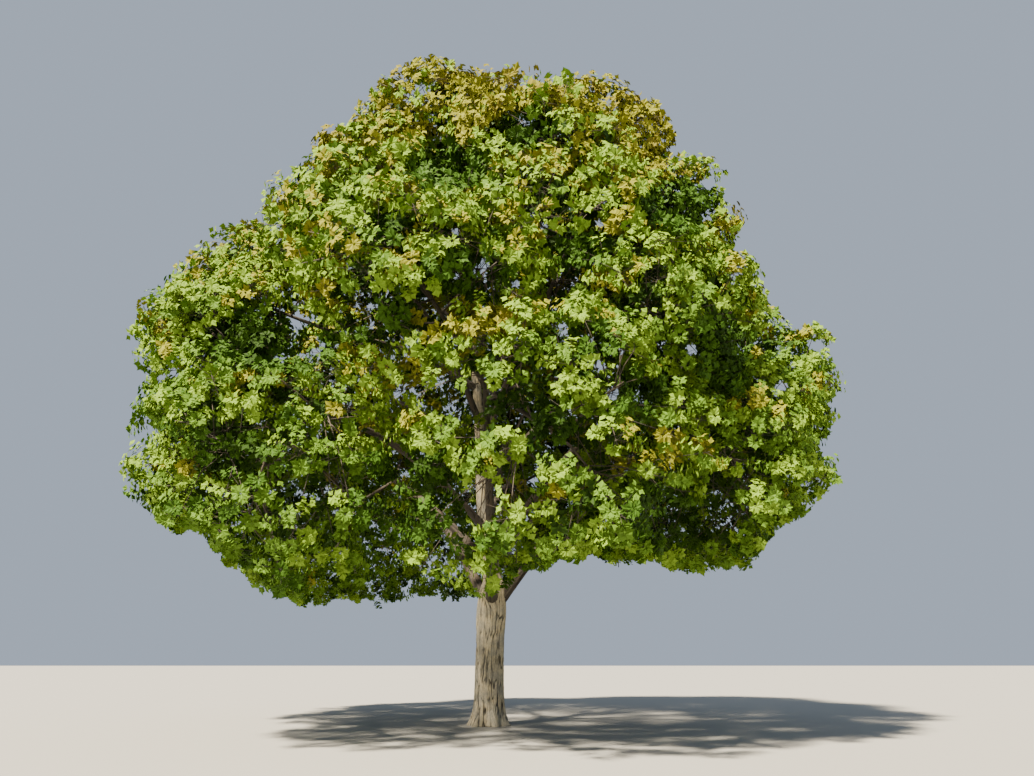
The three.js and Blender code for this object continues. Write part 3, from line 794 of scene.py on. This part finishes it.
# Each sprig leaves the nearest twig part of the way along it, and ends where its clump begins.
def growSprigs(kind, limbs, centres, radii, axes, twigs):
    seed, count = kind["seed"], kind["count"]
    number, place = np.arange(len(centres))[:, None], np.arange(count)[None]
    turn = fullTurn * chance(number, 0, seed + 1)
    out = windRound(axes, count, sprig["first"], sprig["span"], chance(number, place, seed), turn)[0]
    outward = np.sum(out * unit((centres - crownHeart) / flatten)[:, None], -1)
    ends = sprigEnds(kind, centres, radii, out, outward)
    far = np.linalg.norm(ends[:, :, None] - twigs["ends"][:, None], axis=-1)
    parent = np.argmin(np.where(twigs["fits"][:, None], far, np.inf), axis=2)
    share = sprig["leavesFrom"] + sprig["leavesSpan"] * chance(number, place, seed + 3)[..., None]
    starts = onBentLine(*(twigs[part][number, parent] for part in ("starts", "bends", "ends")), share)

    starts, ends, out = starts.reshape(-1, 3), ends.reshape(-1, 3), out.reshape(-1, 3)
    owner, index = np.repeat(np.arange(len(centres)), count), np.arange(len(ends))
    keep = sprigGrows(kind, limbs, centres, radii, ends, outward.reshape(-1), owner)
    starts, ends, out, owner, index = starts[keep], ends[keep], out[keep], owner[keep], index[keep]
    run = ends - starts
    rise = sprig["arch"] * np.linalg.norm(run, axis=1, keepdims=True) * np.array([0, 0, 1.0])
    bends = starts + sprig["bendAt"] * run + rise
    return bentTubes(starts, bends, ends, sprig), {
        "bends": bends, "ends": ends, "out": out, "mass": owner, "number": index}


# A clump is a dome of twiglets on the end of a sprig, and faces out and up. Each twiglet carries a spray.
def growTwiglets(kind, sprigs, centres, radii):
    seed, count = kind["seed"], kind["twiglets"]
    index, ends = sprigs["number"], sprigs["ends"]
    place = np.arange(count)[None]
    heading = unit(sprigs["out"] + np.array([0, 0, twiglet["lift"]]))
    loose = chance(index[:, None], place, seed + 5)
    turn = fullTurn * chance(index, 0, seed + 6)[:, None]
    spread = windRound(heading, count, twiglet["first"], kind["spread"], loose, turn)[0]
    length = (kind["length"] * (1 + twiglet["clumpSwing"] * swing(index, 1, seed + 7))[:, None]
              * (1 + twiglet["lengthSwing"] * swing(index[:, None], place, seed + 8)))
    back = twiglet["backShare"] * place / count
    starts = ends[:, None] - back[..., None] * (ends - sprigs["bends"])[:, None]
    tips = starts + spread * length[..., None] * np.array([1, 1, twiglet["flattening"]])
    sprays = {
        "start": starts.reshape(-1, 3), "end": tips.reshape(-1, 3), "mass": np.repeat(sprigs["mass"], count),
        "clump": np.repeat(index, count) + seed * 10000,
        "number": (index[:, None] * count + place).reshape(-1) + seed * 100000,
        "heading": np.repeat(sprigs["out"], count, axis=0),
    }
    inside = insideBox(sprays["end"], twiglet["boxMargin"]) & overEdge(sprays["end"])
    inside &= insideCrown(sprays["end"], centres, radii)
    sprays = {part: values[inside] for part, values in sprays.items()}
    return taperedSpikes(sprays["start"], sprays["end"], twiglet["rootRadius"]), sprays


# Leaves

# The outline of a leaf of unit length: foot, side lobe, notch and tip, then the same mirrored. The third
# number is how far it curls down.
leafOutline = np.array([
    (0, 0, 0), (0.58, 0.42, -0.09), (0.27, 0.59, 0.03),
    (0, 1, -0.13), (-0.27, 0.59, 0.03), (-0.58, 0.42, -0.09)])
leafTriangles = np.array([(0, i, i + 1) for i in range(1, 5)])
leafTip = 3

# The size of a ring's leaves. Where they are larger they are fewer, by the square.
leafScale = {"skirt": 0.79, "middle": 0.92, "shoulder": 1.06, "crest": 1.12, "top": 1.14}
leafPose = {
    "first": 0.45, "span": 0.6,  # where leaves stand on a twiglet
    "petiole": 0.04, "lengthSwing": 0.2, "splay": 1.25, "splaySwing": 0.35, "droop": 0.3,
    "upward": 0.15, "outward": 0.6, "loose": 0.38, "limbMargin": 0.1,
}


# Leaves stand in turns round the outer part of each twiglet, faces along it, so that a clump is shingled.
# Each corner lies at base + size * (x * across + y * outward + z * facing), x, y and z from the outline.
def growLeaves(kind, sprays, scales, limbs, centres, radii):
    seed, count = kind["seed"], kind["leaves"]
    twiglets = sprays["end"] - sprays["start"]
    run = unit(twiglets)
    share = leafPose["first"] + leafPose["span"] * (np.arange(count) + 0.5) / count
    leafNumber = sprays["number"][:, None] * count + np.arange(count)[None]
    roots = sprays["start"][:, None] + twiglets[:, None] * share[None, :, None]
    side, other = squareTo(run)
    bearing = np.arange(count)[None] * goldenAngle + fullTurn * chance(sprays["number"], 0, seed + 9)[:, None]
    splay = leafPose["splay"] + leafPose["splaySwing"] * swing(leafNumber, 1, seed + 10)
    around = side[:, None] * np.cos(bearing)[..., None] + other[:, None] * np.sin(bearing)[..., None]
    outward = run[:, None] * np.cos(splay)[..., None] + around * np.sin(splay)[..., None]
    outward = unit(outward - np.array([0, 0, leafPose["droop"]]))
    loose = np.stack([swing(leafNumber, axis, seed + 11) for axis in (2, 3, 4)], -1)
    facing = run + leafPose["outward"] * sprays["heading"] + np.array([0, 0, leafPose["upward"]])
    facing = facing[:, None] + leafPose["loose"] * loose
    facing = unit(facing - np.sum(facing * outward, -1, keepdims=True) * outward)
    across = np.cross(outward, facing)
    scale = scales[sprays["mass"]][:, None]
    size = kind["leafLength"] * scale * (1 + leafPose["lengthSwing"] * swing(leafNumber, 5, seed + 12))
    base = roots + outward * leafPose["petiole"]
    corners = base[:, :, None] + size[..., None, None] * (
        leafOutline[:, 0, None] * across[:, :, None] + leafOutline[:, 1, None] * outward[:, :, None]
        + leafOutline[:, 2, None] * facing[:, :, None])
    corners = corners.reshape(-1, len(leafOutline), 3)
    spray = np.repeat(np.arange(len(run)), count)
    keep = leafPlaces(corners, limbs) & insideCrown(corners[:, leafTip], centres, radii)
    keep &= (chance(leafNumber, 6, seed + 13) < (scales.min() / scale) ** 2).reshape(-1)
    return corners[keep], spray[keep]


# Leaves keep clear of the limbs, inside the solids' box, and out of the small openings, which they reach into
# here and there.
def leafPlaces(corners, limbs):
    middle = corners[:, [0, leafTip]].mean(1)
    keep = (clearOfWood(middle, limbs) > leafPose["limbMargin"]) & overEdge(middle)
    keep &= np.all(insideBox(corners, 0), axis=1)
    u, v = toPicture(middle)[:2]
    ragged = gapEdge["least"] + gapEdge["swing"] * chance(np.arange(len(middle)), 0, gapEdge["seed"])
    for gapU, gapV, gapSize in skyGaps:
        keep &= np.hypot(u - gapU, v - gapV) > (gapSize + gapEdge["margin"]) * ragged
    for gapU, gapV, halfWidth, halfHeight in stemGaps:
        away = ((u - gapU) / halfWidth) ** 2 + ((v - gapV) / halfHeight) ** 2
        keep &= (away > 1) | (middle[:, 1] > stemFront)
    return keep


# Tints by spray: warmth rises with height and drifts from mass to mass, clump to clump and spray to spray.
# The inner clumps' leaves drop to the darkest tint: partly the dark green of real shade leaves, partly
# painted shade inside the crown. Each tint holds up to its step of warmth.
tinting = {
    "base": 0.21, "height": 0.035, "mass": 0.08, "clump": 0.11, "spray": 0.2, "seed": 51,
    "shade": -2.0, "hollowPaintedShade": -1.2, "shelfPaintedSunlight": 0.2,
}
tintSteps = {
    "shade": -0.8, "deep": 0.16, "mid": 0.395, "fresh": 0.65, "olive": 0.92, "bronze": 1.04, "gold": 9.9}


def tintOfSprays(sprays, shaded):
    seed = tinting["seed"]
    warmth = (tinting["base"] + tinting["height"] * sprays["end"][:, 2]
              + tinting["mass"] * swing(sprays["mass"], 7, seed)
              + tinting["clump"] * swing(sprays["clump"], 8, seed + 1)
              + tinting["spray"] * swing(sprays["number"], 9, seed + 2) + (tinting["shade"] if shaded else 0)
              + tinting["hollowPaintedShade"] * nearShareIn(hollows, sprays["end"])
              + tinting["shelfPaintedSunlight"] * nearShareIn(paintedSunlitShelves, sprays["end"]))
    return np.searchsorted(list(tintSteps.values()), warmth)


# One piece for each ring and tint.
def makeLeaves(masses, corners, tints, owners):
    leafRing = np.array([m["ring"] for m in masses])[owners]
    for number, tint in enumerate(tintSteps):
        material = leafMaterial(f"maple_leaf_{tint}", leafTints[tint]["colour"])
        for ring in rings:
            chosen = corners[(tints == number) & (leafRing == ring)]
            if len(chosen) == 0:
                continue
            offsets = (np.arange(len(chosen)) * len(leafOutline))[:, None, None]
            triangles = (leafTriangles[None] + offsets).reshape(-1, 3)
            nodes = [m["name"] for m in masses if m["ring"] == ring]
            makePiece(f"leaves_{ring}_{tint}", chosen.reshape(-1, 3), triangles,
                      material, nodes, smooth=False)
            print("leaves", ring, tint, len(triangles), "triangles")


# The whole tree

twigFurrow = 0.8  # twigs are smooth, and nearly as pale as a plate


def makeWood(name, tubes, material, nodes):
    points = np.concatenate([tube[0] for tube in tubes])
    starts = np.cumsum([0] + [len(tube[0]) for tube in tubes])
    triangles = np.concatenate([tube[1] + start for tube, start in zip(tubes, starts)])
    makePiece(name, points, triangles, material, nodes, furrow=np.full(len(points), twigFurrow))
    print(name + ":", len(triangles), "triangles")


def makeBark(limbs, youngPaintedShadeBark):
    old = barkMaterial("maple_bark_old", oldBark)
    total = makeTrunk(old)
    for number, limb in enumerate(limbs):
        slot, material = ("bark", old) if limb.name == "leader" else ("young_bark", youngPaintedShadeBark)
        total += makeLimb(limb, number * limbMesh["seedStep"] + limbMesh["firstSeed"], material)
    print("bark:", total, "triangles")


def dress():
    # Boughs, twigs, sprigs and twiglets take the young bark, whose dark colours are painted shade.
    youngPaintedShadeBark = barkMaterial("maple_bark_young_painted_shade", youngBarkPaintedShade)
    masses = placeMasses()
    limbs = growLimbs(masses)
    makeBark(limbs, youngPaintedShadeBark)

    centres = np.array([m["centre"] for m in masses])
    radii = np.array([m["radius"] for m in masses])
    roots = np.array([m["bough"].at(1.0) for m in masses])
    axes = unit(centres - roots)
    scales = np.array([leafScale[m["ring"]] for m in masses])
    stems, twigTubes, twigs = growTwigs(masses, centres, radii, axes, roots)
    sprigTubes, twigletSpikes, corners, tints, owners = [], [], [], [], []
    for name, kind in clumpKinds.items():
        tubes, sprigs = growSprigs(kind, limbs, centres, radii, axes, twigs)
        spikes, sprays = growTwiglets(kind, sprigs, centres, radii)
        leaves, spray = growLeaves(kind, sprays, scales, limbs, centres, radii)
        print(name, "sprays:", len(sprays["end"]), "leaves:", len(leaves))
        sprigTubes.append(tubes)
        twigletSpikes.append(spikes)
        corners.append(leaves)
        tints.append(tintOfSprays(sprays, name == "inner")[spray])
        owners.append(sprays["mass"][spray])
    wood = {"stems": [stems], "twigs": [twigTubes], "sprigs": sprigTubes, "twiglets": twigletSpikes}
    for name, tubes in wood.items():
        makeWood(name, tubes, youngPaintedShadeBark, [m["name"] for m in masses])
    makeLeaves(masses, np.concatenate(corners), np.concatenate(tints), np.concatenate(owners))


# Studio: a grey floor, a soft warm sun high on the viewer's left and pale blue light from all round.
studio = {
    "floor": "#8f8f8b", "floorGloss": {"To Min": 0.78, "To Max": 0.86},
    "floorSize": 400.0, "floorMottle": 2.5,  # metres
    "sky": "#cfdef2", "skyStrength": 0.65, "sunStrength": 27.0, "sunColour": "#ffeed2",
    "sunSoftness": 4.0, "sunHeight": 50.0, "sunBearing": 36.0,  # degrees
}


# A smooth concrete floor, mottled only in its gloss.
def makeFloor():
    material, tree = newMaterial("studio_floor")
    place = addNode(tree, "TexCoord").outputs["Object"]
    mottleNoise = {"Scale": 1 / studio["floorMottle"], "Detail": 2.0}
    mottle = addNode(tree, "TexNoise", mottleNoise, {"Vector": place}).outputs["Fac"]
    gloss = addNode(tree, "MapRange", studio["floorGloss"], {"Value": mottle}).outputs["Result"]
    shader = addNode(tree, "BsdfPrincipled", {"Base Color": hexColour(studio["floor"])}, {"Roughness": gloss})
    addNode(tree, "OutputMaterial", {}, {"Surface": shader.outputs["BSDF"]})
    half = studio["floorSize"] / 2
    corners = [(-half, -half, 0), (half, -half, 0), (half, half, 0), (-half, half, 0)]
    mesh = bpy.data.meshes.new("floor")
    mesh.from_pydata(corners, [], [(0, 1, 2, 3)])
    mesh.materials.append(material)
    floor = addObject("floor", mesh)


def makeLights():
    data = bpy.data.lights.new("softSun", "SUN")
    data.energy = studio["sunStrength"]
    data.color = hexColour(studio["sunColour"])[:3]
    data.angle = math.radians(studio["sunSoftness"])
    sun = addObject("softSun", data)
    sun.rotation_euler = (math.radians(90 - studio["sunHeight"]), 0, math.radians(-studio["sunBearing"]))

    world = bpy.data.worlds.new("paleStudio")
    world.use_nodes = True
    background = world.node_tree.nodes["Background"]
    background.inputs["Color"].default_value = hexColour(studio["sky"])
    background.inputs["Strength"].default_value = studio["skyStrength"]
    bpy.context.scene.world = world


dress()
makeFloor()
makeLights()
print("studio set")
